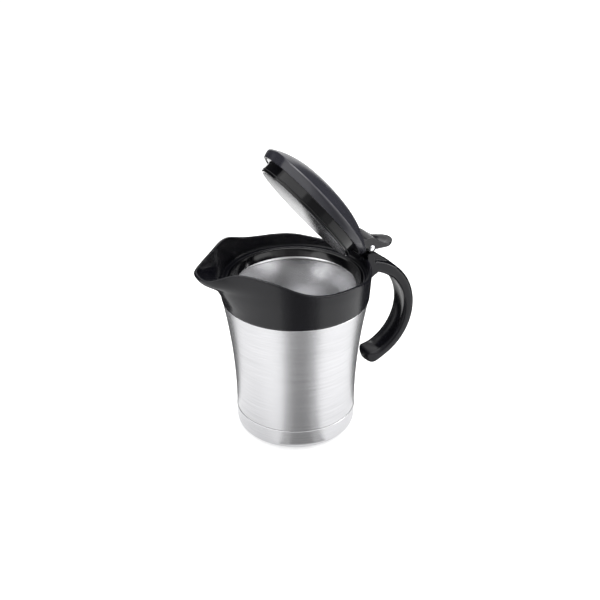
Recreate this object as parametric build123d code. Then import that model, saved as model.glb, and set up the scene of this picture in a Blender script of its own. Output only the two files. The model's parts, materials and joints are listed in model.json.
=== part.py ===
from build123d import *
import math
import os

# Insulated gravy boat, in millimetres: +Z up, +X towards the handle, spout at -X.
# The origin is the centre of the foot. The lid is stored open, as it stands at rest.

# Steel body
BAND_R = 42.6
BAND_H = 16.9
FOOT_ROUND = 8.0
CUP_T = 0.8
BAND_STEP = 0.15
SEAM = 0.25
WALL_T = 0.6
WALL_BOW = 2.2
WALL_STEP = 0.4
COLLAR_Z = 103.0
FIT = 0.05
RECESS_R = 30.0
RECESS_H = 1.6
INNER_BASE_LIFT = 0.4
INNER_BASE_T = 0.7

# Inner vessel
VESSEL_T = 0.5
VESSEL_FLOOR = 11.5
VESSEL_ROUND = 10.0
VACUUM_GAP = 5.0
MOUTH_STEP = 5.4
LIP_FLARE = 1.0
LIP_W = 3.0
STEEL_RISE = 9.1

# Neck, seat ring and seals
NECK_STEP = 2.9
NECK_GAP = 0.3
FLANGE_T = 0.6
SEAL_T = 0.9
SEAT_STEP = 2.3
RIDGE_STEP = 1.1
SEAT_ROUND = 1.0
SEAT_LIP = 1.2
FLANGE_DROP = 3.0
LEDGE_RISE = 14.6

# Collar and spout; heights are measured up from the collar's lower edge
COLLAR_R = 51.6
RIM_FLARE = 1.2
COLLAR_T = 2.4
SPOUT_WIDTH_DEG = 15.3
SPOUT_SHARP = 3.3
SPOUT_REACH = [
    (0, 0), (2, 0), (4.5, 0.3), (8, 1.4), (12, 3.1), (17, 5.8), (21, 9.6), (24.5, 15.0), (27.5, 18.8),
    (31, 20.4), (35, 20.8), (39, 21.0),
]
# The rim's line seen from the side: distance from the axis in rim radii, and rise
RIM_CURVE = [
    (1.136, 18.6), (0.866, 20.5), (0.695, 20.8), (0.47, 22.8), (0.07, 24.2), (-0.208, 25.9), (-0.434, 29.8),
    (-0.616, 34.1), (-0.778, 36.3), (-0.939, 37.0), (-1.119, 35.0), (-1.303, 31.3), (-1.477, 30.4),
]
PLAN_POINTS = 48

# Hinge; the lid's own pieces are drawn closed and then turned open about it
HINGE_BACK = 2.5
HINGE_LIFT = 11.5
OPEN_DEG = 52.5
PIN_R = 2.2
PIN_PROUD = 0.8
PIN_DOME = 0.7
PIN_FIT = 0.03
EAR_FIT = 0.06
KNUCKLE_R = 4.0
KNUCKLE_BACK = 3.6
EAR_GAP = 0.3
EAR_R = 3.2
EAR_W = 3.8

# Handle
HANDLE_W = 19.0
GRIP_R = 43.4
GRIP_T = 8.7
GRIP_BACK = 2.8
GRIP_TOP = 17.8
GRIP_ROUND = 2.6
TOP_DEG = 84.0
ROOT_DEG = 72.0
TIP_DEG = 76.0
CREST_W = 13.0
CREST_SLOPE = 0.775
CREST_START_DEG = 52.0
BLOCK_TOP = 4.0
BLOCK_L = 4.4
BLOCK_ROUND = 2.0
ROOT_LIFT = 0.6
ROOT_OUT = 0.2
ROOT_ARCH = 5.0
ROOT_SLOPE = 0.88
SCREW_R = 1.5
SCREW_HEAD_R = 2.7
SCREW_HEAD_H = 1.4
SCREW_L = 8.0
SCREW_SPAN = 10.0
SCREW_FIT = 0.1
SCREW_DROP = 3.4

# Lid, drawn closed
COVER_GAP = 2.4
COVER_FLARE = 2.0
COVER_LIFT = 1.9
SKIRT_H = 4.5
DOME_H = 11.6
DOME_TILT = 1.5
COVER_T = 2.0
PLUG_GAP = 1.2
PLUG_T = 1.8
PLUG_FLOOR_T = 1.4
PLUG_SINK = 0.4
FLANGE_LIFT = 0.4
PLUG_FLANGE_T = 1.4
DISC_T = 0.6
DISC_INSET = 1.6
DISC_PROUD = 0.2
SEAL_RISE = 1.5
SEAL_H = 1.6
SEAL_OUT = 1.5
SEAL_IN = 0.9
CORE_GAP = 0.5

# Thumb lever
LEVER_W = 19.0
LEVER_REACH = 20.2
LEVER_TOP = [(-2.2, 8.0), (0.8, 7.7), (3.4, 6.0), (6.7, 3.5), (10.1, 1.4), (13.0, 0.7)]
LEVER_EDGE = 1.1
LEVER_TIP_T = 1.0
LEVER_LOW = -1.6
LEVER_BEND = 6.0
# The boss under the lever, from the hinge with the lid closed
BOSS_FRONT = 19.3
BOSS_BACK = 8.4
BOSS_LOW = -6.6
BOSS_TOP = [(-12.0, 0.0), (-8.8, 0.1)]
BOSS_HEEL = [(-4.6, -6.6), (-3.6, -3.2)]
LEVER_SCREW_BACK = 14.3
LEVER_SCREW_L = 4.0
LEVER_SCREW_SPAN = 11.0

INNER_BASE_Z = FOOT_ROUND + INNER_BASE_LIFT
RIM_R = COLLAR_R + RIM_FLARE
WALL_TOP_R = COLLAR_R - WALL_STEP
WALL_MID_R = (BAND_R + WALL_TOP_R) / 2 - WALL_BOW
WALL_MID_Z = (BAND_H + COLLAR_Z) / 2
NECK_R = COLLAR_R - NECK_STEP
SEAT_R = NECK_R - SEAT_STEP
SEAT_RIDGE_R = SEAT_R - RIDGE_STEP
MOUTH_R = SEAT_R - MOUTH_STEP
VESSEL_LOW_R = BAND_R - VACUUM_GAP
LEDGE_Z = COLLAR_Z + LEDGE_RISE
COVER_Z = LEDGE_Z + COVER_LIFT
HINGE_X = RIM_R + HINGE_BACK
HINGE_Z = COVER_Z + HINGE_LIFT
KNUCKLE_W = LEVER_W - 2 * (EAR_W + EAR_GAP)
PIN_L = LEVER_W + 2 * PIN_PROUD
STEEL_TOP = COLLAR_Z + STEEL_RISE
FLANGE_Z = STEEL_TOP - VESSEL_T
STEEL_RIM_R = MOUTH_R + LIP_FLARE
SEAT_Z = STEEL_TOP + SEAL_T
TOP_Z = COLLAR_Z + SPOUT_REACH[-1][0]
COVER_R = RIM_R - COLLAR_T - COVER_GAP
SKIRT_R = COVER_R - COVER_FLARE
PLUG_R = STEEL_RIM_R - PLUG_GAP
PLUG_Z = STEEL_TOP - PLUG_SINK


def spot(r, z):
    """A point in the XZ plane."""
    return (r, 0, z)


def turned(*edges):
    """A solid of revolution about Z from a closed outline in the XZ plane."""
    return revolve(make_face(Curve() + list(edges)), Axis.Z)


def turned_poly(*points):
    """A turned solid with straight edges through (radius, height) points."""
    return turned(Polyline(*[spot(r, z) for r, z in points], close=True))


def slab(points, width):
    """An XZ outline pulled out to both sides of the Y = 0 plane."""
    face = make_face(Polyline(*[spot(x, z) for x, z in points], close=True))
    return extrude(face, amount=width / 2, dir=(0, 1, 0), both=True)


def across(x, z, radius, width):
    """A cylinder along Y."""
    return Pos(x, 0, z) * Rot(90, 0, 0) * Cylinder(radius, width)


def hinge_frame(angle):
    """The placing that turns something drawn closed by an angle about the hinge."""
    return Pos(HINGE_X, 0, HINGE_Z) * Rot(0, angle, 0) * Pos(-HINGE_X, 0, -HINGE_Z)


def from_hinge(dx, dz, angle=0.0):
    """A point given from the hinge axis, turned by an angle, in the row's own frame."""
    a = math.radians(angle)
    return (
        HINGE_X + dx * math.cos(a) + dz * math.sin(a),
        HINGE_Z - dx * math.sin(a) + dz * math.cos(a),
    )


def foot_corner(r, z, bend):
    """A quarter round from a side wall at radius r down to a floor at height z."""
    cut = bend * (1 - math.sqrt(0.5))
    return ThreePointArc(spot(r, z + bend), spot(r - cut, z + cut), spot(r - bend, z))


def wall_curve(inset):
    """The flared line of the steel wall, moved inwards by an inset."""
    return ThreePointArc(
        spot(BAND_R - inset, BAND_H + SEAM),
        spot(WALL_MID_R - inset, WALL_MID_Z),
        spot(WALL_TOP_R - inset, COLLAR_Z - SEAM),
    )


def wall_body(inset, foot_z, top_z):
    """The outer wall as a filled body: stepped foot, flared wall, stepped-in neck."""
    foot_r = BAND_R - CUP_T - FIT - inset
    neck_r = NECK_R - inset
    curve = wall_curve(inset)
    rest = Polyline(
        curve @ 1,
        spot(neck_r, COLLAR_Z - SEAM),
        spot(neck_r, top_z),
        spot(0, top_z),
        spot(0, foot_z),
        spot(foot_r, foot_z),
        spot(foot_r, BAND_H + SEAM),
        curve @ 0,
    )
    return turned(curve, rest)


def make_outer_wall():
    skin = wall_body(0, INNER_BASE_Z, FLANGE_Z)
    space = wall_body(WALL_T, INNER_BASE_Z - 1, FLANGE_Z - FLANGE_T)
    shoulder = turned_poly(
        (NECK_R - WALL_T, COLLAR_Z - SEAM - WALL_T),
        (WALL_TOP_R, COLLAR_Z - SEAM - WALL_T),
        (WALL_TOP_R, COLLAR_Z - SEAM),
        (NECK_R - WALL_T, COLLAR_Z - SEAM),
    )
    step = turned_poly(
        (BAND_R - CUP_T - FIT - WALL_T, BAND_H + SEAM),
        (BAND_R, BAND_H + SEAM),
        (BAND_R, BAND_H + SEAM + WALL_T),
        (BAND_R - CUP_T - FIT - WALL_T, BAND_H + SEAM + WALL_T),
    )
    mouth = Pos(0, 0, FLANGE_Z) * Cylinder(STEEL_RIM_R + VESSEL_T + 2 * FIT, 4 * FLANGE_T)
    return (skin - space) + (shoulder & skin) + (step & skin) - mouth


def make_base_cup():
    def cup(inset):
        r = BAND_R + BAND_STEP - inset
        bend = FOOT_ROUND - inset
        corner = foot_corner(r, inset, bend)
        top = BAND_H if inset == 0 else BAND_H + 1
        side = Polyline(corner @ 1, spot(0, inset), spot(0, top), spot(r, top), corner @ 0)
        return turned(corner, side)

    recess = Pos(0, 0, RECESS_H / 2) * Cylinder(RECESS_R, RECESS_H)
    raised = Pos(0, 0, (RECESS_H + CUP_T) / 2) * Cylinder(RECESS_R + CUP_T, RECESS_H + CUP_T)
    return (cup(0) - cup(CUP_T)) + raised - recess


def make_inner_base():
    r = BAND_R - CUP_T - FIT - WALL_T - FIT
    return Pos(0, 0, INNER_BASE_Z + INNER_BASE_T / 2) * Cylinder(r, INNER_BASE_T)


def make_inner_vessel():
    lip_low = STEEL_TOP - 2 * LIP_FLARE

    def bowl(grow, floor, lip_z):
        round_r = VESSEL_ROUND + grow
        low = VESSEL_LOW_R + grow
        corner = foot_corner(low, floor, round_r)
        side = Line(spot(low, floor + round_r), spot(MOUTH_R + grow, lip_low))
        flare = Line(side @ 1, spot(STEEL_RIM_R + grow, lip_z))
        top = Polyline(flare @ 1, spot(0, lip_z), spot(0, floor), corner @ 1)
        return turned(corner, side, flare, top)

    outside = bowl(VESSEL_T, VESSEL_FLOOR - VESSEL_T, FLANGE_Z)
    lip = Pos(0, 0, STEEL_TOP - VESSEL_T / 2) * Cylinder(STEEL_RIM_R + LIP_W, VESSEL_T)
    return outside + lip - bowl(0, VESSEL_FLOOR, STEEL_TOP)


def make_seat_ring():
    """Ring with a rounded ridge; its funnel leads the plug down to the steel rim."""
    ridge_z = LEDGE_Z - SEAT_ROUND
    lip_r = STEEL_RIM_R + SEAT_LIP
    funnel = Line(spot(STEEL_RIM_R, STEEL_TOP + FIT), spot(SEAT_RIDGE_R - SEAT_ROUND, ridge_z))
    ridge = ThreePointArc(
        funnel @ 1,
        spot(SEAT_RIDGE_R, LEDGE_Z),
        spot(SEAT_R, ridge_z),
    )
    under = Polyline(
        ridge @ 1,
        spot(SEAT_R, SEAT_Z),
        spot(lip_r, SEAT_Z),
        spot(lip_r, STEEL_TOP + FIT),
        funnel @ 0,
    )
    return turned(funnel, ridge, under)


def make_seat_seal():
    inner = STEEL_RIM_R + SEAT_LIP + FIT
    outer = STEEL_RIM_R + LIP_W
    return turned_poly((inner, STEEL_TOP), (outer, STEEL_TOP), (outer, SEAT_Z), (inner, SEAT_Z))


def make_collar_seal():
    inner = SEAT_R + NECK_GAP
    outer = NECK_R - NECK_GAP
    top = LEDGE_Z - FLANGE_DROP
    return turned_poly((inner, FLANGE_Z), (outer, FLANGE_Z), (outer, top), (inner, top))


def collar_radius(rise):
    """Outer radius of the collar's round part at a height above its lower edge."""
    share = min(rise / (LEDGE_RISE + FLANGE_DROP), 1.0)
    return COLLAR_R + (RIM_R - COLLAR_R) * share


def spout_slope(i):
    """How fast the spout's nose leans out at one of the listed heights."""
    low = SPOUT_REACH[max(i - 1, 0)]
    high = SPOUT_REACH[min(i + 1, len(SPOUT_REACH) - 1)]
    return (high[1] - low[1]) / (high[0] - low[0])


def collar_section(i, inset):
    """A closed plan outline of the collar, with the spout's nose at -X."""
    rise, reach = SPOUT_REACH[i]
    lean = spout_slope(i)
    radius = collar_radius(rise)
    points = []
    for k in range(PLAN_POINTS):
        turn = 2 * k / PLAN_POINTS
        share = turn if turn <= 1 else turn - 2
        # Samples are closer together at the nose
        off_nose = 180 * (1 - abs(share)) ** 1.5
        angle = math.copysign(180 - off_nose, share)
        nose = 1 / (1 + (off_nose / SPOUT_WIDTH_DEG) ** SPOUT_SHARP)
        wall = inset * math.hypot(1, lean * nose)
        r = radius + reach * nose - wall
        a = math.radians(angle)
        points.append((r * math.cos(a), r * math.sin(a), COLLAR_Z + rise))
    return make_face(Spline(*points, periodic=True))


def collar_body(inset):
    """The collar's whole outside, or its inside when inset by the wall, before the rim is cut."""
    return loft([collar_section(i, inset) for i in range(len(SPOUT_REACH))])


def above_rim():
    """Everything above the wavy line of the rim."""
    line = Spline(*[spot(RIM_R * share, COLLAR_Z + rise) for share, rise in RIM_CURVE])
    lid = TOP_Z + LEDGE_RISE
    front = (line @ 1).X
    back = (line @ 0).X
    frame = Polyline(line @ 1, spot(front, lid), spot(back, lid), line @ 0)
    return extrude(make_face(Curve() + [line, frame]), amount=2 * RIM_R, dir=(0, 1, 0), both=True)


def make_collar(outside):
    inside = collar_body(COLLAR_T)
    bore_r = NECK_R + NECK_GAP
    below = turned_poly(
        (0, COLLAR_Z - 1),
        (bore_r, COLLAR_Z - 1),
        (bore_r, LEDGE_Z - FLANGE_DROP),
        (0, LEDGE_Z - FLANGE_DROP),
    )
    hole = Pos(0, 0, LEDGE_Z) * Cylinder(SEAT_R + NECK_GAP, 4 * FLANGE_DROP)
    upper = (Align.CENTER, Align.CENTER, Align.MIN)
    top = Pos(0, 0, LEDGE_Z) * Box(6 * RIM_R, 6 * RIM_R, 4 * RIM_R, align=upper)
    return outside - above_rim() - (inside & top) - below - hole - screw_space(1)


def handle_screw_places():
    z = LEDGE_Z - FLANGE_DROP - SCREW_DROP
    x = math.sqrt((NECK_R + NECK_GAP) ** 2 - (SCREW_SPAN / 2) ** 2) + FIT
    return [(x, side * SCREW_SPAN / 2, z) for side in (-1, 1)]


def countersunk(length, head_r, shank_r, head_h):
    """A countersunk screw standing on its head, shank up along Z."""
    head = Pos(0, 0, head_h / 2) * Cone(head_r, shank_r, head_h)
    shank = Pos(0, 0, length / 2) * Cylinder(shank_r, length)
    return head + shank


def screw_space(grow):
    """The handle screws, or with grow 1 the holes for them."""
    gap = grow * SCREW_FIT
    one = countersunk(SCREW_L + gap, SCREW_HEAD_R + gap, SCREW_R + gap, SCREW_HEAD_H)
    tail = Pos(0, 0, -1) * Cylinder(SCREW_HEAD_R + gap, 2) if grow else None
    shape = one + tail if grow else one
    return Compound([Pos(*p) * Rot(0, 90, 0) * shape for p in handle_screw_places()])


def on_grip(radius, deg):
    """A point of the handle's arc by radius and by angle above the level of its centre."""
    a = math.radians(deg)
    return spot(
        RIM_R - GRIP_BACK + radius * math.cos(a),
        COLLAR_Z + GRIP_TOP - GRIP_R + radius * math.sin(a),
    )


def grip_section(deg):
    """The arm's round-cornered section at an angle of its arc."""
    centre = on_grip(GRIP_R - GRIP_T / 2, deg)
    return Pos(*centre) * Rot(0, -deg, 0) * RectangleRounded(GRIP_T, HANDLE_W, GRIP_ROUND)


def make_arm():
    """The bowed arm with its rounded tip, and the root that fills the corner under its top."""
    middle = GRIP_R - GRIP_T / 2
    arc_axis = Axis(on_grip(0, 0), (0, 1, 0))
    bow = revolve(grip_section(TOP_DEG), arc_axis, TOP_DEG + TIP_DEG)
    tip_centre = on_grip(middle, -TIP_DEG)
    half = Pos(*tip_centre) * Rot(0, TIP_DEG, 0) * Pos(GRIP_T / 2, 0, 0) * Rectangle(GRIP_T, 2 * HANDLE_W)
    tip = revolve(grip_section(-TIP_DEG) & half, Axis(tip_centre, (0, 1, 0)), 180)
    root_x = COLLAR_R + ROOT_OUT
    root_z = COLLAR_Z + ROOT_LIFT
    ridge = ThreePointArc(
        on_grip(middle, TOP_DEG), on_grip(middle, (TOP_DEG + ROOT_DEG) / 2), on_grip(middle, ROOT_DEG)
    )
    down = Line(ridge @ 1, on_grip(GRIP_R - GRIP_T, ROOT_DEG))
    arch = spot(COLLAR_R + ROOT_ARCH, root_z + ROOT_SLOPE * ROOT_ARCH)
    under = ThreePointArc(down @ 1, arch, spot(root_x, root_z))
    inside_r = COLLAR_R - COLLAR_T
    back = Polyline(under @ 1, spot(inside_r, root_z), spot(inside_r, (ridge @ 0).Z), ridge @ 0)
    root_face = make_face(Curve() + [ridge, down, under, back])
    root = extrude(root_face, amount=HANDLE_W / 2, dir=(0, 1, 0), both=True)

    # The tip is round seen from the front too
    nose_deg = TIP_DEG + math.degrees((GRIP_T - HANDLE_W) / 2 / middle)
    nose = Pos(*on_grip(middle, -nose_deg)) * Rot(0, nose_deg, 0)
    upper = (Align.CENTER, Align.CENTER, Align.MIN)
    rest = nose * Box(6 * GRIP_R, 2 * HANDLE_W, 6 * GRIP_R, align=upper)
    finger = nose * Rot(0, 90, 0) * Cylinder(HANDLE_W / 2, 4 * GRIP_T)
    return (bow + tip + root) & (rest + finger)


def make_handle(outside):
    arm = make_arm()
    block_top = HINGE_Z - BLOCK_TOP
    touch_x, _, touch_z = on_grip(GRIP_R, CREST_START_DEG)
    crest_x = HINGE_X + BLOCK_L
    crest_z = touch_z + (touch_x - crest_x) * CREST_SLOPE
    crest = slab(
        [
            (COLLAR_R - COLLAR_T, LEDGE_Z),
            (COLLAR_R - COLLAR_T, block_top),
            (crest_x - BLOCK_ROUND, block_top),
            (crest_x, crest_z),
            (touch_x, touch_z),
            on_grip(GRIP_R - GRIP_T / 2, CREST_START_DEG)[::2],
            on_grip(GRIP_R - GRIP_T / 2, ROOT_DEG)[::2],
        ],
        CREST_W,
    )
    cheek_z = LEDGE_Z - FLANGE_DROP
    cheeks = slab(
        [
            (COLLAR_R - COLLAR_T, cheek_z),
            (COLLAR_R - COLLAR_T, block_top),
            (crest_x - BLOCK_ROUND, block_top),
            (crest_x - BLOCK_ROUND / 2, cheek_z),
        ],
        HANDLE_W,
    )
    neck = slab(
        [
            (HINGE_X - KNUCKLE_R, block_top - 1),
            (HINGE_X - KNUCKLE_R, HINGE_Z),
            (HINGE_X + KNUCKLE_BACK, HINGE_Z),
            (HINGE_X + KNUCKLE_BACK, block_top - 1),
        ],
        KNUCKLE_W,
    )
    knuckle = across(HINGE_X, HINGE_Z, KNUCKLE_R, KNUCKLE_W)
    bore = across(HINGE_X, HINGE_Z, PIN_R + PIN_FIT, HANDLE_W)
    return arm + crest + cheeks + neck + knuckle - outside - bore - screw_space(1)


def make_hinge_pin():
    """Pin with rounded ends; both stand a little proud of the lever's ears."""
    shaft = across(HINGE_X, HINGE_Z, PIN_R, PIN_L)
    rims = [e for e in shaft.edges() if e.geom_type == GeomType.CIRCLE]
    return fillet(rims, min(PIN_DOME, PIN_R / 2))


def cover_body(inset):
    """The domed cover, drawn closed, as a filled body or as its inside."""
    edge_z = COVER_Z + SKIRT_H
    outer_r = COVER_R - inset
    lean = (COVER_R - SKIRT_R) / SKIRT_H
    foot_z = COVER_Z - SKIRT_H
    crown = Spline(*[
        spot(COVER_R * t - (inset if t == 1 else 0), edge_z + DOME_H * (1 - t**3) - inset)
        for t in (0, 0.25, 0.5, 0.7, 0.85, 1)
    ])
    foot_r = outer_r - lean * (edge_z - inset - foot_z)
    side = Polyline(crown @ 1, spot(foot_r, foot_z), spot(0, foot_z), crown @ 0)
    body = turned(crown, side)
    tilted = Pos(0, 0, edge_z) * Rot(0, DOME_TILT, 0) * Pos(0, 0, -edge_z) * body
    lower = (Align.CENTER, Align.CENTER, Align.MAX)
    below = Pos(0, 0, COVER_Z) * Box(4 * COVER_R, 4 * COVER_R, 4 * SKIRT_H, align=lower)
    return tilted - below


def lever_screw_places():
    x = HINGE_X - LEVER_SCREW_BACK
    return [(x, side * LEVER_SCREW_SPAN / 2) for side in (-1, 1)]


def lever_screws(grow):
    """Screws up through the cover into the lever, or with grow 1 the holes for them."""
    gap = grow * SCREW_FIT
    base = COVER_Z + SKIRT_H - COVER_T
    length = SCREW_HEAD_H + LEVER_SCREW_L + gap
    one = countersunk(length, SCREW_HEAD_R + gap, SCREW_R + gap, SCREW_HEAD_H)
    return Compound([Pos(x, y, base) * one for x, y in lever_screw_places()])


def make_lid_cover():
    return cover_body(0) - cover_body(COVER_T) - lever_screws(1)


def make_lid_plug():
    flange_z = COVER_Z + FLANGE_LIFT
    top_z = flange_z + PLUG_FLANGE_T
    flange_r = SKIRT_R - COVER_T - NECK_GAP
    cup = turned_poly((0, PLUG_Z), (PLUG_R, PLUG_Z), (PLUG_R, top_z), (0, top_z))
    flange = turned_poly((0, flange_z), (flange_r, flange_z), (flange_r, top_z), (0, top_z))
    hollow_z = PLUG_Z + PLUG_FLOOR_T
    hollow = turned_poly(
        (0, hollow_z), (PLUG_R - PLUG_T, hollow_z), (PLUG_R - PLUG_T, top_z + 1), (0, top_z + 1)
    )
    disc_r = PLUG_R - DISC_INSET + FIT
    seat_z = PLUG_Z + DISC_T - DISC_PROUD
    disc_seat = turned_poly((0, PLUG_Z - 1), (disc_r, PLUG_Z - 1), (disc_r, seat_z), (0, seat_z))
    low = PLUG_Z + SEAL_RISE - SEAL_H / 2
    inner = PLUG_R - SEAL_IN
    groove = turned_poly((inner, low), (PLUG_R + 1, low), (PLUG_R + 1, low + SEAL_H), (inner, low + SEAL_H))
    return cup + flange - hollow - disc_seat - groove


def make_plug_disc():
    r = PLUG_R - DISC_INSET
    low = PLUG_Z - DISC_PROUD
    return turned_poly((0, low), (r, low), (r, low + DISC_T), (0, low + DISC_T))


def make_plug_seal():
    """Silicone ring in the plug's groove, with one lip that stands out to the funnel."""
    low = PLUG_Z + SEAL_RISE - SEAL_H / 2
    inner = PLUG_R - SEAL_IN
    return turned_poly(
        (inner, low),
        (PLUG_R, low),
        (PLUG_R + SEAL_OUT - SEAL_IN, low + SEAL_H / 2),
        (PLUG_R + SEAL_OUT - SEAL_IN, low + SEAL_H * 0.7),
        (PLUG_R, low + SEAL_H),
        (inner, low + SEAL_H),
    )


def make_lid_core():
    """Foam slug between the plug's floor and the cover."""
    r = PLUG_R - PLUG_T - FIT
    low = PLUG_Z + PLUG_FLOOR_T
    reach = COVER_Z + SKIRT_H + DOME_H
    slug = turned_poly((0, low), (r, low), (r, reach), (0, reach))
    screws = Compound([
        Pos(x, y, COVER_Z + SKIRT_H) * Cylinder(SCREW_HEAD_R + CORE_GAP, 2 * SKIRT_H)
        for x, y in lever_screw_places()
    ])
    return (slug & cover_body_deep()) - screws


def cover_body_deep():
    """The cover's inside with the foam's gap, reaching down through the plug."""
    return cover_body(COVER_T + FIT) + turned_poly(
        (0, PLUG_Z), (PLUG_R, PLUG_Z), (PLUG_R, COVER_Z + FLANGE_LIFT), (0, COVER_Z + FLANGE_LIFT)
    )


def make_thumb_lever():
    """Lever in its rest place: foot on the cover, two ears round the pin, thumb pad."""
    points = [from_hinge(*BOSS_TOP[-1], OPEN_DEG)] + [from_hinge(*p) for p in LEVER_TOP]
    points.append(from_hinge(LEVER_REACH, LEVER_EDGE))
    top = Spline(*[spot(*p) for p in points])
    low_points = [
        from_hinge(LEVER_REACH, LEVER_EDGE - LEVER_TIP_T),
        from_hinge(LEVER_REACH - LEVER_BEND, LEVER_LOW),
        from_hinge(EAR_R + 1, LEVER_LOW),
        from_hinge(0, LEVER_LOW / 3),
        from_hinge(*BOSS_HEEL[1], OPEN_DEG),
        from_hinge(*BOSS_HEEL[0], OPEN_DEG),
        from_hinge(-BOSS_BACK, BOSS_LOW, OPEN_DEG),
    ]
    under = Polyline(top @ 1, *[spot(*p) for p in low_points], top @ 0)
    blade = extrude(make_face(Curve() + [top, under]), amount=LEVER_W / 2, dir=(0, 1, 0), both=True)
    blade += across(HINGE_X, HINGE_Z, EAR_R, LEVER_W)

    pad_x = HINGE_X + LEVER_REACH - LEVER_W / 2
    trunk_l = pad_x - HINGE_X + 2 * LEVER_REACH
    trunk = Pos(pad_x, 0, HINGE_Z) * Box(
        trunk_l, LEVER_W, 6 * LEVER_W, align=(Align.MAX, Align.CENTER, Align.CENTER)
    )
    nose = Pos(pad_x, 0, HINGE_Z) * Cylinder(LEVER_W / 2, 6 * LEVER_W)
    blade = blade & (trunk + nose)

    boss_points = [
        (-BOSS_FRONT, BOSS_LOW + 2.6),
        (-BOSS_FRONT, -0.9),
        *BOSS_TOP,
        (-BOSS_BACK, BOSS_LOW),
        (BOSS_TOP[0][0], BOSS_LOW),
    ]
    boss = slab([(HINGE_X + dx, HINGE_Z + dz) for dx, dz in boss_points], LEVER_W)
    blade += hinge_frame(OPEN_DEG) * boss
    slot_w = KNUCKLE_W + 2 * EAR_GAP
    slot = across(HINGE_X, HINGE_Z, KNUCKLE_R + EAR_GAP, slot_w)
    slot_box = [(-8.2, -9), (-8.2, 2.2), (-2, KNUCKLE_R + EAR_GAP), (4, KNUCKLE_R - 1), (7.2, 0), (7.2, -9)]
    slot += slab([from_hinge(*p) for p in slot_box], slot_w)
    bore = across(HINGE_X, HINGE_Z, PIN_R + EAR_FIT, 2 * LEVER_W)
    seat = hinge_frame(OPEN_DEG) * (cover_body(0) + lever_screws(1))
    return blade - slot - bore - seat


def named(label, shape):
    export_step(shape, f"parts/{label}.step")


def main():
    os.makedirs("parts", exist_ok=True)
    outside = collar_body(0)
    opened = hinge_frame(OPEN_DEG)
    named("outer_wall", make_outer_wall())
    named("base_cup", make_base_cup())
    named("inner_base", make_inner_base())
    named("inner_vessel", make_inner_vessel())
    named("seat_ring", make_seat_ring())
    named("seat_seal", make_seat_seal())
    named("collar_seal", make_collar_seal())
    named("collar", make_collar(outside))
    named("handle", make_handle(outside))
    named("handle_screws", screw_space(0))
    named("hinge_pin", make_hinge_pin())
    named("lid_cover", opened * make_lid_cover())
    named("lid_plug", opened * make_lid_plug())
    named("lid_core", opened * make_lid_core())
    named("plug_disc", opened * make_plug_disc())
    named("plug_seal", opened * make_plug_seal())
    named("thumb_lever", make_thumb_lever())
    named("lever_screws", opened * lever_screws(0))


main()
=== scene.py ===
import json
import math

import bmesh
import bpy
from mathutils import Matrix, Vector


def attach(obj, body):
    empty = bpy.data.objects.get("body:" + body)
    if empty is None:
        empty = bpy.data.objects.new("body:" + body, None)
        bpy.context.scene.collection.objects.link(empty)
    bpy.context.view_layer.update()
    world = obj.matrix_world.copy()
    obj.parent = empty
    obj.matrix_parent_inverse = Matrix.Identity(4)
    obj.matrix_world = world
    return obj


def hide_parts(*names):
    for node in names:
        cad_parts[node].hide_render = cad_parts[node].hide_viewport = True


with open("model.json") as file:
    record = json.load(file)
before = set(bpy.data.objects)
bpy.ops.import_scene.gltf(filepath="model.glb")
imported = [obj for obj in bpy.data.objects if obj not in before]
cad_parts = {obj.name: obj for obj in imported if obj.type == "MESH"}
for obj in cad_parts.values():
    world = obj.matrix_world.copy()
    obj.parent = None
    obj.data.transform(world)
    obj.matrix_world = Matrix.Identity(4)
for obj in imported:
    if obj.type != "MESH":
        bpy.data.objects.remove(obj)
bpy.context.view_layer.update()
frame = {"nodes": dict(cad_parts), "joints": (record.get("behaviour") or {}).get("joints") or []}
nodes = frame["nodes"]
mm = 0.001

# The lid's own pieces are drawn closed and rest open; the joint's low end is the closed lid
joint = frame["joints"][0]
pivot = Vector(joint["pos_m"])
openTurn = -math.radians(joint["range_deg"][0])

# The camera looks down at the front, from the spout's side; its place is in mm
camera = {
    "place": (-302.0, -605.7, 463.3),
    "look": (0.3967, 0.7864, -0.4743),
    "focal": 66.0,
    "sensor": 36.0,
    "clipEnd": 20.0,
}

# Steps in a full turn, the closest that two vertices stay apart in metres, how much of a side a
# rounded corner may take, and how far each pass relaxes a remeshed solid
fineSteps = 192
plainSteps = 160
mergeDistance = 1e-6
cornerShare = 0.45
relaxFactor = 0.5


def hexColour(text):
    # sRGB hex to linear, with alpha 1
    values = [int(text[i:i + 2], 16) / 255 for i in (0, 2, 4)]
    return [v / 12.92 if v <= 0.04045 else ((v + 0.055) / 1.055) ** 2.4 for v in values] + [1.0]


def addNode(tree, kind, settings=None, links=None):
    # Adds one node, sets its properties or sockets by name, and links its inputs
    node = tree.nodes.new(kind)
    for key, value in (settings or {}).items():
        if isinstance(key, str) and hasattr(node, key):
            setattr(node, key, value)
        else:
            node.inputs[key].default_value = value
    for key, source in (links or {}).items():
        tree.links.new(source, node.inputs[key])
    return node


def newMaterial(name):
    material = bpy.data.materials.new(name)
    material.use_nodes = True
    material.node_tree.nodes.clear()
    return material, material.node_tree


def finishMaterial(tree, shader):
    addNode(tree, "ShaderNodeOutputMaterial", links={"Surface": shader.outputs[0]})


def tonedBy(tree, settings, factor):
    # The shade where the factor is 0, and the colour where it is 1
    mix = addNode(
        tree,
        "ShaderNodeMix",
        {"data_type": "RGBA", 6: hexColour(settings["shade"]), 7: hexColour(settings["colour"])},
        {0: factor},
    )
    return mix.outputs[2]


def linkPiece(mesh, name):
    piece = bpy.data.objects.new(name, mesh)
    bpy.context.scene.collection.objects.link(piece)
    return piece


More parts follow.
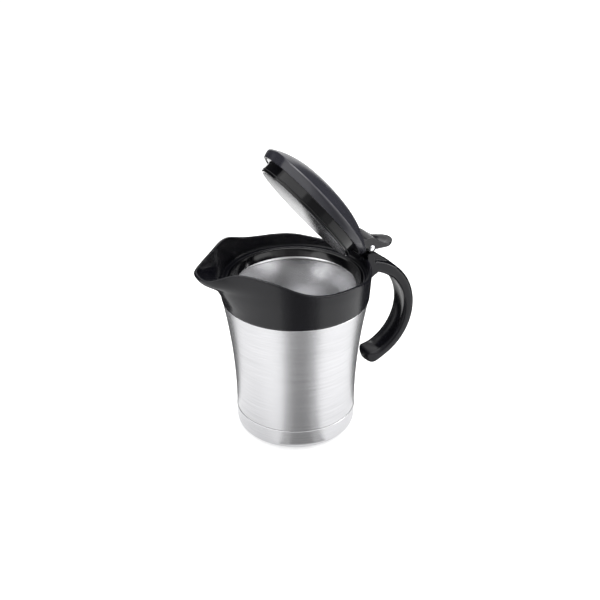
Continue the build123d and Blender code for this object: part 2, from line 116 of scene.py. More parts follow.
def meshFrom(bm, name, sharpDeg=40):
    # Merges doubles, points the faces outwards and shades smooth up to an angle
    bmesh.ops.remove_doubles(bm, verts=bm.verts, dist=mergeDistance)
    bmesh.ops.recalc_face_normals(bm, faces=bm.faces)
    mesh = bpy.data.meshes.new(name)
    bm.to_mesh(mesh)
    bm.free()
    mesh.shade_smooth()
    mesh.set_sharp_from_angle(angle=math.radians(sharpDeg))
    return mesh


def openedMesh(bm, name, sharpDeg=50):
    # Turns a piece that was drawn closed to its rest place, open
    turn = Matrix.Rotation(openTurn, 4, "Y")
    opened = Matrix.Translation(pivot) @ turn @ Matrix.Translation(-pivot)
    bmesh.ops.transform(bm, matrix=opened, verts=bm.verts)
    return meshFrom(bm, name, sharpDeg)


def lathe(outline, steps):
    # An outline of (radius, height) in mm, spun once round Z; one that starts on the axis ends there
    bm = bmesh.new()
    corners = [bm.verts.new((r * mm, 0, z * mm)) for r, z in outline]
    edges = [bm.edges.new(pair) for pair in zip(corners, corners[1:])]
    if outline[0][0] > 0:
        edges.append(bm.edges.new((corners[-1], corners[0])))
    bmesh.ops.spin(
        bm,
        geom=corners + edges,
        cent=(0, 0, 0),
        axis=(0, 0, 1),
        angle=math.tau,
        steps=steps,
        use_merge=True,
    )
    return bm


def softCorners(outline, segments=4):
    # Rounds each (radius, height, bend) corner of a closed outline; a bend of 0 keeps it sharp
    points = []
    for i, (r, z, bend) in enumerate(outline):
        here = Vector((r, z))
        back = Vector(outline[i - 1][:2]) - here
        ahead = Vector(outline[(i + 1) % len(outline)][:2]) - here
        reach = min(bend, back.length * cornerShare, ahead.length * cornerShare)
        if reach <= mergeDistance:
            points.append((r, z))
            continue
        start = here + back.normalized() * reach
        end = here + ahead.normalized() * reach
        for k in range(segments + 1):
            t = k / segments
            p = start * (1 - t) ** 2 + here * 2 * t * (1 - t) + end * t ** 2
            points.append((p.x, p.y))
    return points


def arcThrough(a, b, c, count):
    # Points on the circle through three (radius, height) points, ends included
    ax, ay, bx, by, cx, cy = *a, *b, *c
    sa, sb, sc = ax**2 + ay**2, bx**2 + by**2, cx**2 + cy**2
    d = 2 * (ax * (by - cy) + bx * (cy - ay) + cx * (ay - by))
    ux = (sa * (by - cy) + sb * (cy - ay) + sc * (ay - by)) / d
    uy = (sa * (cx - bx) + sb * (ax - cx) + sc * (bx - ax)) / d
    start = math.atan2(ay - uy, ax - ux)
    end = math.atan2(cy - uy, cx - ux)
    turn = (end - start + math.pi) % math.tau - math.pi
    radius = math.hypot(ax - ux, ay - uy)
    angles = [start + turn * k / count for k in range(count + 1)]
    return [(ux + radius * math.cos(angle), uy + radius * math.sin(angle)) for angle in angles]


def cornerArc(r, z, bend, count=10):
    # A quarter round from the floor at height z up to a wall at radius r
    turns = [math.radians(90 * k / count) for k in range(count + 1)]
    return [(r - bend + bend * math.sin(a), z + bend - bend * math.cos(a)) for a in turns]


def addPiece(mesh, name, body, material, replaced):
    piece = linkPiece(mesh, name)
    mesh.materials.append(material)
    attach(piece, body)
    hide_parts(*replaced)
    print("made", name)


def roundedCopy(node, name, voxelMm, passes):
    # A CAD solid's mesh with its edges broken the way a mould breaks them: remeshed, then relaxed
    bm = bmesh.new()
    bm.from_mesh(nodes[node].data)
    bmesh.ops.remove_doubles(bm, verts=bm.verts, dist=mergeDistance)
    source = bpy.data.meshes.new(name + "Source")
    bm.to_mesh(source)
    bm.free()
    holder = linkPiece(source, name + "Source")
    remesh = holder.modifiers.new("remesh", "REMESH")
    remesh.mode = "VOXEL"
    remesh.voxel_size = voxelMm * mm
    relax = holder.modifiers.new("relax", "SMOOTH")
    relax.factor = relaxFactor
    relax.iterations = passes
    shaped = holder.evaluated_get(bpy.context.evaluated_depsgraph_get())
    mesh = bpy.data.meshes.new_from_object(shaped)
    mesh.name = name
    mesh.materials.clear()
    bpy.data.objects.remove(holder)
    bpy.data.meshes.remove(source)
    mesh.shade_smooth()
    return mesh


def faded(value, start, end):
    # 0 before start, 1 past end, eased between
    share = min(max((value - start) / (end - start), 0), 1)
    return share * share * (3 - 2 * share)


# Stainless steel sheet, spun and brushed round the axis: highlights stretch up and down the wall,
# and long fine rings of lighter and darker metal follow the brush
brushed = {
    "colour": "D4D4D6",
    "shade": "AFAFB1",
    "roughness": 0.27,
    "anisotropy": 0.75,
    "ringMm": 0.45,
    "streakMm": 30,
    "detail": 3.0,
    "breakUp": 0.6,
    "bump": 0.1,
    "depthMm": 0.02,
}


def lidRings(tree, place):
    # Back to the lid's own closed frame, then the distance from its axis, as the disc's brush runs
    shift = pivot - Matrix.Rotation(-openTurn, 3, "Y") @ pivot
    closed = addNode(
        tree,
        "ShaderNodeMapping",
        {"Rotation": (0, -openTurn, 0), "Location": shift},
        {"Vector": place},
    )
    flat = addNode(
        tree,
        "ShaderNodeVectorMath",
        {"operation": "MULTIPLY", 1: (1, 1, 0)},
        {0: closed.outputs["Vector"]},
    )
    reach = addNode(
        tree,
        "ShaderNodeVectorMath",
        {"operation": "LENGTH"},
        {0: flat.outputs["Vector"]},
    )
    ring = addNode(tree, "ShaderNodeCombineXYZ", links={"Z": reach.outputs["Value"]})
    return ring.outputs["Vector"]


def brushedSteel(name, settings, onLid=False):
    material, tree = newMaterial(name)
    along = 1 / (settings["streakMm"] * mm)
    place = addNode(tree, "ShaderNodeTexCoord").outputs["Object"]
    if onLid:
        place = lidRings(tree, place)
    rings = addNode(
        tree,
        "ShaderNodeMapping",
        {"Scale": (along, along, 1 / (settings["ringMm"] * mm))},
        {"Vector": place},
    )
    grain = addNode(
        tree,
        "ShaderNodeTexNoise",
        {"Scale": 1.0, "Detail": settings["detail"], "Roughness": settings["breakUp"]},
        {"Vector": rings.outputs["Vector"]},
    )
    bump = addNode(
        tree,
        "ShaderNodeBump",
        {"Strength": settings["bump"], "Distance": settings["depthMm"] * mm},
        {"Height": grain.outputs["Fac"]},
    )
    links = {
        "Base Color": tonedBy(tree, settings, grain.outputs["Fac"]),
        "Normal": bump.outputs["Normal"],
    }
    if not onLid:
        tangent = addNode(tree, "ShaderNodeTangent", {"direction_type": "RADIAL", "axis": "Z"})
        links["Tangent"] = tangent.outputs["Tangent"]
    shader = addNode(
        tree,
        "ShaderNodeBsdfPrincipled",
        {
            "Metallic": 1.0,
            "Roughness": settings["roughness"],
            "Anisotropic": 0.0 if onLid else settings["anisotropy"],
        },
        links,
    )
    finishMaterial(tree, shader)
    return material


# Polypropylene, moulded in a spark-eroded tool: a fine even grain and a soft, broad sheen
moulded = {
    "colour": "0D0D14",
    "shade": "09090E",
    "roughness": 0.3,
    "ior": 1.38,
    "grainMm": 0.3,
    "depthMm": 0.012,
    "bump": 0.4,
    "cloudsPerMetre": 60.0,
    "detail": 2.0,
}


def mouldedFinish(name, settings):
    material, tree = newMaterial(name)
    place = addNode(tree, "ShaderNodeTexCoord")
    grain = addNode(
        tree,
        "ShaderNodeTexNoise",
        {"Scale": 1 / (settings["grainMm"] * mm), "Detail": settings["detail"]},
        {"Vector": place.outputs["Object"]},
    )
    clouds = addNode(
        tree,
        "ShaderNodeTexNoise",
        {"Scale": settings["cloudsPerMetre"], "Detail": settings["detail"]},
        {"Vector": place.outputs["Object"]},
    )
    bump = addNode(
        tree,
        "ShaderNodeBump",
        {"Strength": settings["bump"], "Distance": settings["depthMm"] * mm},
        {"Height": grain.outputs["Fac"]},
    )
    shader = addNode(
        tree,
        "ShaderNodeBsdfPrincipled",
        {"Roughness": settings["roughness"], "IOR": settings["ior"]},
        {
            "Base Color": tonedBy(tree, settings, clouds.outputs["Fac"]),
            "Normal": bump.outputs["Normal"],
        },
    )
    finishMaterial(tree, shader)
    return material


# Turned and barrel-polished stainless pin: nearly a mirror, with faint marks from the tumbling,
# which vary its roughness between two shares
polishedPin = {
    "colour": "E2E2E4",
    "shade": "CFCFD2",
    "roughness": 0.14,
    "smoothest": 0.8,
    "roughest": 1.3,
    "markMm": 0.8,
    "detail": 2.0,
}


def polishedSteel(name, settings):
    material, tree = newMaterial(name)
    place = addNode(tree, "ShaderNodeTexCoord")
    marks = addNode(
        tree,
        "ShaderNodeTexNoise",
        {"Scale": 1 / (settings["markMm"] * mm), "Detail": settings["detail"]},
        {"Vector": place.outputs["Object"]},
    )
    gloss = addNode(
        tree,
        "ShaderNodeMapRange",
        {
            "To Min": settings["roughness"] * settings["smoothest"],
            "To Max": settings["roughness"] * settings["roughest"],
        },
        {"Value": marks.outputs["Fac"]},
    )
    shader = addNode(
        tree,
        "ShaderNodeBsdfPrincipled",
        {"Metallic": 1.0},
        {
            "Base Color": tonedBy(tree, settings, marks.outputs["Fac"]),
            "Roughness": gloss.outputs["Result"],
        },
    )
    finishMaterial(tree, shader)
    return material


wallSteel = brushedSteel("brushedWallSteel", brushed)
# Painted light: drawn lighter than the wall, to brighten the inside, which sees little but itself
vesselSteelPaintedLight = brushedSteel(
    "brushedVesselSteelPaintedLight",
    {**brushed, "colour": "EDEDEE", "shade": "D8D8DA", "roughness": 0.24},
)
# Painted shade: the disc's steel is drawn darker, standing in for the dark reflections on it
discSteelPaintedShade = brushedSteel(
    "brushedDiscSteelPaintedShade",
    {**brushed, "colour": "949496", "shade": "78787A", "roughness": 0.26},
    onLid=True,
)
pinSteel = polishedSteel("polishedPinSteel", polishedPin)
# Zinc plating, greyer and duller than the pin
zincSteel = polishedSteel("zincPlatedScrew", {**polishedPin, "colour": "B9BBBD", "roughness": 0.3})
collarPlastic = mouldedFinish(
    "mouldedCollarBlack",
    {**moulded, "roughness": 0.25, "depthMm": 0.006},
)
handlePlastic = mouldedFinish(
    "mouldedHandleBlack",
    {**moulded, "roughness": 0.22, "ior": 1.33},
)
# Painted light: the cover is drawn a lighter grey, standing in for the bright reflections on its skirt
coverPlasticPaintedLight = mouldedFinish(
    "mouldedCoverBlackPaintedLight",
    {**moulded, "colour": "303037", "shade": "27272D", "roughness": 0.26, "ior": 1.45},
)
# The lever is drawn a lighter grey than the collar, with a deeper grain
leverPlastic = mouldedFinish(
    "mouldedLeverBlack",
    {
        **moulded,
        "colour": "1A1A1E",
        "shade": "131316",
        "roughness": 0.25,
        "ior": 1.45,
        "depthMm": 0.02,
    },
)
# Polished tool steel leaves the plug and the seat glossy
polishedBlack = {**moulded, "colour": "08080A", "depthMm": 0.002}
plugPlastic = mouldedFinish("polishedPlugBlack", {**polishedBlack, "roughness": 0.1})
seatPlastic = mouldedFinish("polishedSeatBlack", {**polishedBlack, "roughness": 0.13, "ior": 1.5})
# Silicone rubber, compression moulded: matt and slightly dusty
sealRubber = mouldedFinish(
    "mouldedSilicone",
    {**moulded, "colour": "141416", "roughness": 0.55, "ior": 1.41},
)
# Expanded polystyrene with its beads showing
foam = mouldedFinish(
    "expandedPolystyrene",
    {
        **moulded,
        "colour": "EDEDEA",
        "shade": "DCDCD8",
        "roughness": 0.8,
        "grainMm": 3.0,
        "depthMm": 0.3,
    },
)

# Outer wall: rolled sheet, stepped in at the foot for the base cup and at the neck for the collar
wall = {
    "foot": (42.6, 17.15),
    "middle": (44.7, 59.95),
    "top": (51.2, 102.75),
    "thickness": 0.6,
    "neck": 48.7,
    "neckTop": 111.6,
    "mouth": 42.6,
    "footStep": 0.85,
    "footLow": 8.4,
    "edge": 0.2,
    "outerCount": 48,
    "innerCount": 24,
}


def makeWall():
    waist = wall["foot"], wall["middle"], wall["top"]
    outer = arcThrough(*waist, wall["outerCount"])
    t, edge = wall["thickness"], wall["edge"]
    topR, topZ = wall["top"]
    lowR, lowZ = wall["foot"]
    neckIn = wall["neck"] - t
    footR = lowR - wall["footStep"]
    outer[0] = (lowR, lowZ + edge)
    outer[-1] = (topR, topZ - edge)
    outer.append((topR - edge, topZ))
    rim = [
        (wall["neck"], topZ),
        (wall["neck"], wall["neckTop"]),
        (wall["mouth"], wall["neckTop"]),
        (wall["mouth"], wall["neckTop"] - t),
        (neckIn, wall["neckTop"] - t),
        (neckIn, topZ - t),
    ]
    between = arcThrough(*waist, wall["innerCount"])[1:-1]
    inner = [(r - t, z) for r, z in reversed(between)]
    foot = [
        (footR - t, lowZ + t),
        (footR - t, wall["footLow"]),
        (footR, wall["footLow"]),
        (footR, lowZ),
        (lowR - edge, lowZ),
    ]
    return meshFrom(lathe(outer + rim + inner + foot, fineSteps), "outerWallSkin")


addPiece(makeWall(), "outerWallSkin", "jug", wallSteel, ["outer_wall"])

# Base cup: the band round the foot, drawn with a soft lower corner and a recessed middle
cup = {
    "r": 42.75,
    "bend": 8.0,
    "t": 0.8,
    "top": 16.9,
    "recessR": 30.0,
    "recess": 1.6,
    "recessBend": 0.5,
    "edge": 0.25,
    "outerCount": 14,
    "innerCount": 8,
}


def makeBaseCup():
    r, t, top = cup["r"], cup["t"], cup["top"]
    ring, rise, soft = cup["recessR"], cup["recess"], cup["recessBend"]
    outer = cornerArc(r, 0, cup["bend"], cup["outerCount"])
    inner = list(reversed(cornerArc(r - t, t, cup["bend"] - t, cup["innerCount"])))
    lip = [(r, top - cup["edge"]), (r - cup["edge"], top), (r - t, top)]
    under = softCorners([(0, rise, 0), (ring, rise, soft), (ring, 0, 0)])
    over = softCorners([(ring + t, t, 0), (ring + t, rise + t, soft), (0, rise + t, 0)])
    return meshFrom(lathe(under + outer + lip + inner + over, fineSteps), "baseCupShell")


addPiece(makeBaseCup(), "baseCupShell", "jug", wallSteel, ["base_cup"])

# Inner vessel: deep drawn, its lip rolled out over the neck
vessel = {
    "lowR": 37.6,
    "bend": 10.0,
    "floor": 11.5,
    "t": 0.5,
    "mouth": 41.0,
    "flareZ": 110.1,
    "lipR": 42.0,
    "lipZ": 112.1,
    "lipOut": 45.0,
}


def makeVessel():
    t, lowR, bend, floorZ = vessel["t"], vessel["lowR"], vessel["bend"], vessel["floor"]
    inside = [(0, floorZ)] + cornerArc(lowR, floorZ, bend)
    inside += [(vessel["mouth"], vessel["flareZ"]), (vessel["lipR"], vessel["lipZ"])]
    outside = [(0, floorZ - t)] + cornerArc(lowR + t, floorZ - t, bend + t)
    outside += [
        (vessel["mouth"] + t, vessel["flareZ"]),
        (vessel["lipR"] + t, vessel["lipZ"] - t),
        (vessel["lipOut"], vessel["lipZ"] - t),
        (vessel["lipOut"], vessel["lipZ"]),
    ]
    return meshFrom(lathe(inside + list(reversed(outside)), plainSteps), "innerVesselShell")


addPiece(makeVessel(), "innerVesselShell", "jug", vesselSteelPaintedLight, ["inner_vessel"])

# Seat ring: polished ridge and funnel that the plug drops into
seat = {
    "tip": (42.0, 112.15),
    "funnel": (44.3, 116.6),
    "crest": (45.3, 117.6),
    "outer": (46.4, 116.6),
    "low": 113.0,
    "lipR": 43.2,
    "crestCount": 12,
}


def makeSeatRing():
    tipR, tipZ = seat["tip"]
    crest = arcThrough(seat["funnel"], seat["crest"], seat["outer"], seat["crestCount"])
    outline = [(tipR, tipZ)] + crest
    outline += [(seat["outer"][0], seat["low"]), (seat["lipR"], seat["low"]), (seat["lipR"], tipZ)]
    return meshFrom(lathe(outline, fineSteps), "seatRingRidge", 50)


addPiece(makeSeatRing(), "seatRingRidge", "jug", seatPlastic, ["seat_ring"])

# Collar, handle and lever: the CAD forms with the mould's rounded edges
collar = {"voxelMm": 0.55, "passes": 8}


def makeCollar():
    return roundedCopy("collar", "collarShell", collar["voxelMm"], collar["passes"])


addPiece(makeCollar(), "collarShell", "jug", collarPlastic, ["collar"])

# The handle's arm is an arc round a centre, with a shallow channel along its inner side
handle = {
    "voxelMm": 0.42,
    "passes": 5,
    "centreX": 50.0,
    "centreZ": 77.4,
    "outerR": 43.4,
    "thick": 8.7,
    "halfWidth": 9.5,
    "sideBulge": 1.5,
    "channelWide": 8.2,
    "channelDeep": 1.7,
    "channelFrom": 0.6,
    "channelTo": 3.5,
    "startDeg": -76,
    "endDeg": 56,
    "fadeDeg": 14,
}


def makeHandle():
    mesh = roundedCopy("handle", "handleArm", handle["voxelMm"], handle["passes"])
    innerR = handle["outerR"] - handle["thick"]
    start, end, fade = handle["startDeg"], handle["endDeg"], handle["fadeDeg"]
    for v in mesh.vertices:
        dx = v.co.x / mm - handle["centreX"]
        dz = v.co.z / mm - handle["centreZ"]
        reach = math.hypot(dx, dz)
        turn = math.degrees(math.atan2(dz, dx))
        along = faded(turn, start, start + fade) * (1 - faded(turn, end - fade, end))
        # The sides bulge between the arm's long edges
        edge = 2 * (reach - innerR) / handle["thick"] - 1
        v.co.y *= 1 - handle["sideBulge"] / handle["halfWidth"] * along * min(1, edge * edge)
        side = max(0, 1 - (v.co.y / mm / handle["channelWide"]) ** 2)
        near = 1 - faded(reach - innerR, handle["channelFrom"], handle["channelTo"])
        depth = handle["channelDeep"] * along * side * near
        if depth > 0:
            v.co.x += depth * dx / reach * mm
            v.co.z += depth * dz / reach * mm
    return mesh


addPiece(makeHandle(), "handleArm", "jug", handlePlastic, ["handle"])

# The thumb's dish is pressed into the faces that look up
lever = {
    "voxelMm": 0.28,
    "passes": 3,
    "padX": 66.0,
    "dishLong": 6.6,
    "dishWide": 6.4,
    "dishDeep": 0.7,
    "looksUp": 0.3,
}


def makeLever():
    mesh = roundedCopy("thumb_lever", "thumbLeverPad", lever["voxelMm"], lever["passes"])
    for v in mesh.vertices:
        if v.normal.z < lever["looksUp"]:
            continue
        dx = (v.co.x / mm - lever["padX"]) / lever["dishLong"]
        dy = v.co.y / mm / lever["dishWide"]
        depth = lever["dishDeep"] * faded(1 - dx * dx - dy * dy, 0, 1)
        v.co.z -= depth * mm
    return mesh


addPiece(makeLever(), "thumbLeverPad", "lid", leverPlastic, ["thumb_lever"])

# Hinge pin, its ends domed and proud of the ears; the dome's shares are of its radius and drop
pin = {
    "r": 2.17,
    "half": 10.3,
    "dome": 0.7,
    "domeShares": [(0, 0), (0.45, 0.12), (0.8, 0.45), (1, 1)],
    "steps": 48,
}


def makePin():
    r, half, dome = pin["r"], pin["half"], pin["dome"]
    end = [(r * out, half - dome * drop) for out, drop in pin["domeShares"]]
    bm = lathe(end + [(out, -z) for out, z in reversed(end)], pin["steps"])
    toHinge = Matrix.Translation(pivot) @ Matrix.Rotation(math.pi / 2, 4, "X")
    bmesh.ops.transform(bm, matrix=toHinge, verts=bm.verts)
    return meshFrom(bm, "hingePinDomed", 70)


addPiece(makePin(), "hingePinDomed", "jug", pinSteel, ["hinge_pin"])

# Lid cover, drawn closed: dome, rounded shoulder and flared skirt with a shallow recess in front.
# The crown stops short of the edge, to leave the shoulder room to bend
cover = {
    "r": 48.0,
    "edgeZ": 124.0,
    "dome": 11.6,
    "footR": 46.0,
    "footZ": 119.5,
    "t": 2.0,
    "innerStep": 0.6,
    "tiltDeg": 1.5,
    "shoulder": 3.0,
    "lipBend": 0.5,
    "bendCount": 6,
    "crownSteps": 24,
    "crownCount": 22,
    "crownPower": 3,
    "recess": 1.1,
    "recessWide": 6.5,
    "recessPower": 4,
    "recessSkin": 1.1,
    "recessLow": 1.2,
    "recessHigh": 1.6,
}


def coverOutline():
    r, t, edgeZ = cover["r"], cover["t"], cover["edgeZ"]
    footR, footZ, bend = cover["footR"], cover["footZ"], cover["lipBend"]
    shares = [k / cover["crownSteps"] for k in range(cover["crownCount"])]
    crown = [(r * s, edgeZ + cover["dome"] * (1 - s ** cover["crownPower"])) for s in shares]
    outline = [(out, z, 0) for out, z in crown]
    outline += [
        (r, edgeZ, cover["shoulder"]),
        (footR, footZ, bend),
        (footR - t, footZ, bend),
        (r - t - cover["innerStep"], edgeZ - t, bend),
    ]
    outline += [(out - t * out / r, z - t, 0) for out, z in reversed(crown)]
    return softCorners(outline, cover["bendCount"])


def makeCover():
    bm = lathe(coverOutline(), fineSteps)
    r, edgeZ, footR, footZ = cover["r"], cover["edgeZ"], cover["footR"], cover["footZ"]
    low, high = edgeZ - cover["recessLow"], edgeZ + cover["recessHigh"]
    lean = math.tan(math.radians(cover["tiltDeg"]))
    for v in bm.verts:
        x, y, z = v.co.x / mm, v.co.y / mm, v.co.z / mm
        skirtR = footR + (r - footR) * (z - footZ) / (edgeZ - footZ)
        onSkin = math.hypot(x, y) > min(skirtR, r) - cover["recessSkin"]
        if x < 0 and z < high and onSkin:
            across = math.exp(-((y / cover["recessWide"]) ** cover["recessPower"]))
            v.co.x += cover["recess"] * across * (1 - faded(z, low, high)) * mm
        v.co.z -= faded(z, footZ, edgeZ) * x * lean * mm
    return openedMesh(bm, "lidCoverDome")


addPiece(makeCover(), "lidCoverDome", "lid", coverPlasticPaintedLight, ["lid_cover"])

# Plug, drawn closed: glossy cup with a soft lower edge, a seal groove and a flange under the cover
plug = {
    "r": 40.8,
    "z": 111.7,
    "t": 1.8,
    "floor": 1.4,
    "flangeZ": 119.9,
    "topZ": 121.3,
    "flangeR": 43.7,
    "lowBend": 1.1,
    "wallBend": 0.6,
    "topBend": 0.3,
    "grooveLow": 113.3,
    "grooveHigh": 114.0,
    "grooveR": 39.9,
    "grooveBend": 0.1,
    "discR": 38.7,
    "discDrop": 0.4,
    "discBend": 0.15,
}


def makePlug():
    r, t, discR = plug["r"], plug["t"], plug["discR"]
    low, floorZ, seatZ = plug["z"], plug["z"] + plug["floor"], plug["z"] + plug["discDrop"]
    flangeR, flangeZ, topZ, soft = plug["flangeR"], plug["flangeZ"], plug["topZ"], plug["topBend"]
    grooveR, grooveLow, grooveHigh = plug["grooveR"], plug["grooveLow"], plug["grooveHigh"]
    outline = [
        (0, seatZ, 0),
        (discR, seatZ, 0),
        (discR, low, plug["discBend"]),
        (r, low, plug["lowBend"]),
        (r, grooveLow, plug["grooveBend"]),
        (grooveR, grooveLow, 0),
        (grooveR, grooveHigh, 0),
        (r, grooveHigh, 2 * plug["grooveBend"]),
        (r, flangeZ, plug["wallBend"]),
        (flangeR, flangeZ, soft),
        (flangeR, topZ, soft),
        (r - t, topZ, soft),
        (r - t, floorZ, soft),
        (0, floorZ, 0),
    ]
    return openedMesh(lathe(softCorners(outline), fineSteps), "lidPlugCup")


addPiece(makePlug(), "lidPlugCup", "lid", plugPlastic, ["lid_plug"])

# Pressed steel disc with a soft rim, let into the plug's underside and slightly proud of it
disc = {"gap": 0.05, "proud": 0.2, "topBend": 0.1, "rimBend": 0.35, "bendCount": 5}


def makeDisc():
    r = plug["discR"] - disc["gap"]
    low, top = plug["z"] - disc["proud"], plug["z"] + plug["discDrop"]
    outline = [(0, top, 0), (r, top, disc["topBend"]), (r, low, disc["rimBend"]), (0, low, 0)]
    return openedMesh(lathe(softCorners(outline, disc["bendCount"]), fineSteps), "plugDiscPlate")


addPiece(makeDisc(), "plugDiscPlate", "lid", discSteelPaintedShade, ["plug_disc"])

# Silicone ring in the plug's groove, with one rounded lip
seal = {"out": 0.2, "lipLow": 0.2, "lipHigh": 0.5, "bend": 0.3}


def makeSeal():
    r, inner, bend = plug["r"], plug["grooveR"], seal["bend"]
    low, high = plug["grooveLow"], plug["grooveHigh"]
    outline = [
        (inner, low, 0),
        (r, low, bend),
        (r + seal["out"], low + seal["lipLow"], bend),
        (r + seal["out"], low + seal["lipHigh"], bend),
        (r, high, bend),
        (inner, high, 0),
    ]
    return openedMesh(lathe(softCorners(outline), fineSteps), "plugSealRing", 60)


addPiece(makeSeal(), "plugSealRing", "lid", sealRubber, ["plug_seal"])

# What stays as CAD made it, nearly all of it out of sight
kept = {
    "inner_base": wallSteel,
    "seat_seal": sealRubber,
    "collar_seal": sealRubber,
    "handle_screws": zincSteel,
    "lever_screws": zincSteel,
    "lid_core": foam,
}
for name, material in kept.items():
    slots = nodes[name].data.materials
    if not slots:
        slots.append(material)
    for i in range(len(slots)):
        slots[i] = material
print("dressed the hidden pieces")

# Studio: white paper under the object, white all round, two soft boxes, a strip and one lamp
# overhead; grey and black cards, seen only by reflections, draw the dark stripes down the steel
studio = {
    "colour": "F2F2F2",
    "shade": "EFEFEF",
    "fibresPerMetre": 400.0,
    "fibreDetail": 3.0,
    "floorLift": 0.48,
    "floorSize": 6.0,
    "worldLight": 0.3,
    "aim": (0, 0, 0.08),
}


def seenRays(tree):
    # 1 for camera, glossy and transmission rays, and 0 for the rest
    path = addNode(tree, "ShaderNodeLightPath")
    direct = addNode(
        tree,
        "ShaderNodeMath",
        {"operation": "MAXIMUM"},
        {0: path.outputs["Is Camera Ray"], 1: path.outputs["Is Glossy Ray"]},
    )
    seen = addNode(
        tree,
        "ShaderNodeMath",
        {"operation": "MAXIMUM"},
        {0: direct.outputs[0], 1: path.outputs["Is Transmission Ray"]},
    )
    return seen.outputs[0]


def makeFloor():
    # Paper that the camera sees as white where it is lit, with the object's shadow kept
    bm = bmesh.new()
    bmesh.ops.create_grid(bm, x_segments=1, y_segments=1, size=studio["floorSize"] / 2)
    floor = linkPiece(meshFrom(bm, "floor"), "floor")
    material, tree = newMaterial("whitePaperFloor")
    place = addNode(tree, "ShaderNodeTexCoord")
    fibre = addNode(
        tree,
        "ShaderNodeTexNoise",
        {"Scale": studio["fibresPerMetre"], "Detail": studio["fibreDetail"]},
        {"Vector": place.outputs["Object"]},
    )
    tone = tonedBy(tree, studio, fibre.outputs["Fac"])
    paper = addNode(tree, "ShaderNodeBsdfDiffuse", links={"Color": tone})
    lift = addNode(
        tree,
        "ShaderNodeMath",
        {"operation": "MULTIPLY", 1: studio["floorLift"]},
        {0: seenRays(tree)},
    )
    glow = addNode(
        tree,
        "ShaderNodeEmission",
        {"Color": (1, 1, 1, 1)},
        {"Strength": lift.outputs[0]},
    )
    both = addNode(tree, "ShaderNodeAddShader", links={0: paper.outputs[0], 1: glow.outputs[0]})
    finishMaterial(tree, both)
    floor.data.materials.append(material)
    print("made the floor")


def makeWorld():
    # Camera, glossy and transmission rays see white; diffuse light comes in softer
    world = bpy.data.worlds.new("studioWorld")
    bpy.context.scene.world = world
    world.use_nodes = True
    tree = world.node_tree
    tree.nodes.clear()
    white = (1, 1, 1, 1)
    soft = addNode(tree, "ShaderNodeBackground", {"Color": white, "Strength": studio["worldLight"]})
    bright = addNode(tree, "ShaderNodeBackground", {"Color": white, "Strength": 1.0})
    mix = addNode(
        tree,
        "ShaderNodeMixShader",
        links={0: seenRays(tree), 1: soft.outputs[0], 2: bright.outputs[0]},
    )
    addNode(tree, "ShaderNodeOutputWorld", links={"Surface": mix.outputs[0]})
    print("made the world")


# Azimuths start at the camera's side of the object and turn to the picture's right; distances are
# in metres. A card runs out along the floor from near to far, then up. The narrow front card lies
# on the wide one and stands just before it
cardForm = {"near": 0.044, "low": 0.0004, "far": 2.26, "high": 2.2, "steps": 24}
frontForm = {**cardForm, "near": 0.046, "low": 0.0008, "far": 2.22}
cards = [
    {**cardForm, "name": "frontCardWide", "azimuth": 8, "span": 50, "grey": 0.68},
    {**frontForm, "name": "frontCard", "azimuth": 7, "span": 26, "grey": 0.38},
    {**cardForm, "name": "leftBackCard", "azimuth": -136, "span": 56, "grey": 0.04},
    {**cardForm, "name": "rightBackCard", "azimuth": 136, "span": 58, "grey": 0.04},
]
boxForm = {"reach": 1.15, "high": 0.85}
lamps = [
    {**boxForm, "name": "leftBox", "azimuth": -68, "size": (2.0, 1.8), "power": 12.6},
    {**boxForm, "name": "rightBox", "azimuth": 72, "size": (1.4, 1.8), "power": 7.0},
    {"name": "rightStrip", "azimuth": 97, "reach": 1.0, "high": 0.8, "size": (0.22, 1.8), "power": 7.0},
    {"name": "topBox", "azimuth": 170, "reach": 0.3, "high": 1.5, "size": (0.9, 0.7), "power": 14.0},
]


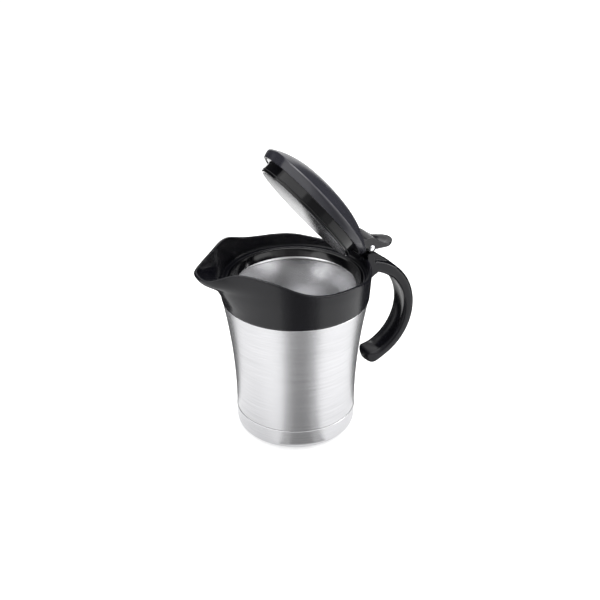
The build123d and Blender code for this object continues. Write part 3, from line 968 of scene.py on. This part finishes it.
def aroundObject(azimuth, reach, high):
    # A point about the object by its azimuth from the camera's side
    facing = math.atan2(-camera["look"][1], -camera["look"][0]) + math.radians(azimuth)
    return Vector((reach * math.cos(facing), reach * math.sin(facing), high))


def makeCards():
    # Each card's line is spun through its span
    for card in cards:
        bm = bmesh.new()
        first = card["azimuth"] - card["span"] / 2
        near, far, low, high = card["near"], card["far"], card["low"], card["high"]
        line = [(near, low), (far, low), (far, high)]
        corners = [bm.verts.new(aroundObject(first, out, up)) for out, up in line]
        edges = [bm.edges.new(pair) for pair in zip(corners, corners[1:])]
        bmesh.ops.spin(
            bm,
            geom=corners + edges,
            cent=(0, 0, 0),
            axis=(0, 0, 1),
            angle=math.radians(card["span"]),
            steps=card["steps"],
        )
        piece = linkPiece(meshFrom(bm, card["name"]), card["name"])
        material, tree = newMaterial("painted_" + card["name"])
        tone = [card["grey"]] * 3 + [1]
        paint = addNode(tree, "ShaderNodeEmission", {"Color": tone, "Strength": 1.0})
        finishMaterial(tree, paint)
        piece.data.materials.append(material)
        piece.visible_camera = False
        piece.visible_diffuse = False
        piece.visible_shadow = False
    print("made the cards")


def makeLamps():
    for item in lamps:
        light = bpy.data.lights.new(item["name"], "AREA")
        light.shape = "RECTANGLE"
        light.size, light.size_y = item["size"]
        light.energy = item["power"]
        lamp = bpy.data.objects.new(item["name"], light)
        bpy.context.scene.collection.objects.link(lamp)
        lamp.location = aroundObject(item["azimuth"], item["reach"], item["high"])
        aim = Vector(studio["aim"]) - lamp.location
        lamp.rotation_euler = aim.to_track_quat("-Z", "Y").to_euler()
    print("made the lamps")


def makeCamera():
    data = bpy.data.cameras.new("camera")
    data.lens = camera["focal"]
    data.sensor_width = camera["sensor"]
    data.clip_end = camera["clipEnd"]
    eye = bpy.data.objects.new("camera", data)
    bpy.context.scene.collection.objects.link(eye)
    eye.location = Vector(camera["place"]) * mm
    eye.rotation_euler = Vector(camera["look"]).to_track_quat("-Z", "Y").to_euler()
    bpy.context.scene.camera = eye
    print("made the camera")


makeFloor()
makeWorld()
makeCards()
makeLamps()
makeCamera()
bpy.context.scene.view_settings.view_transform = "Standard"
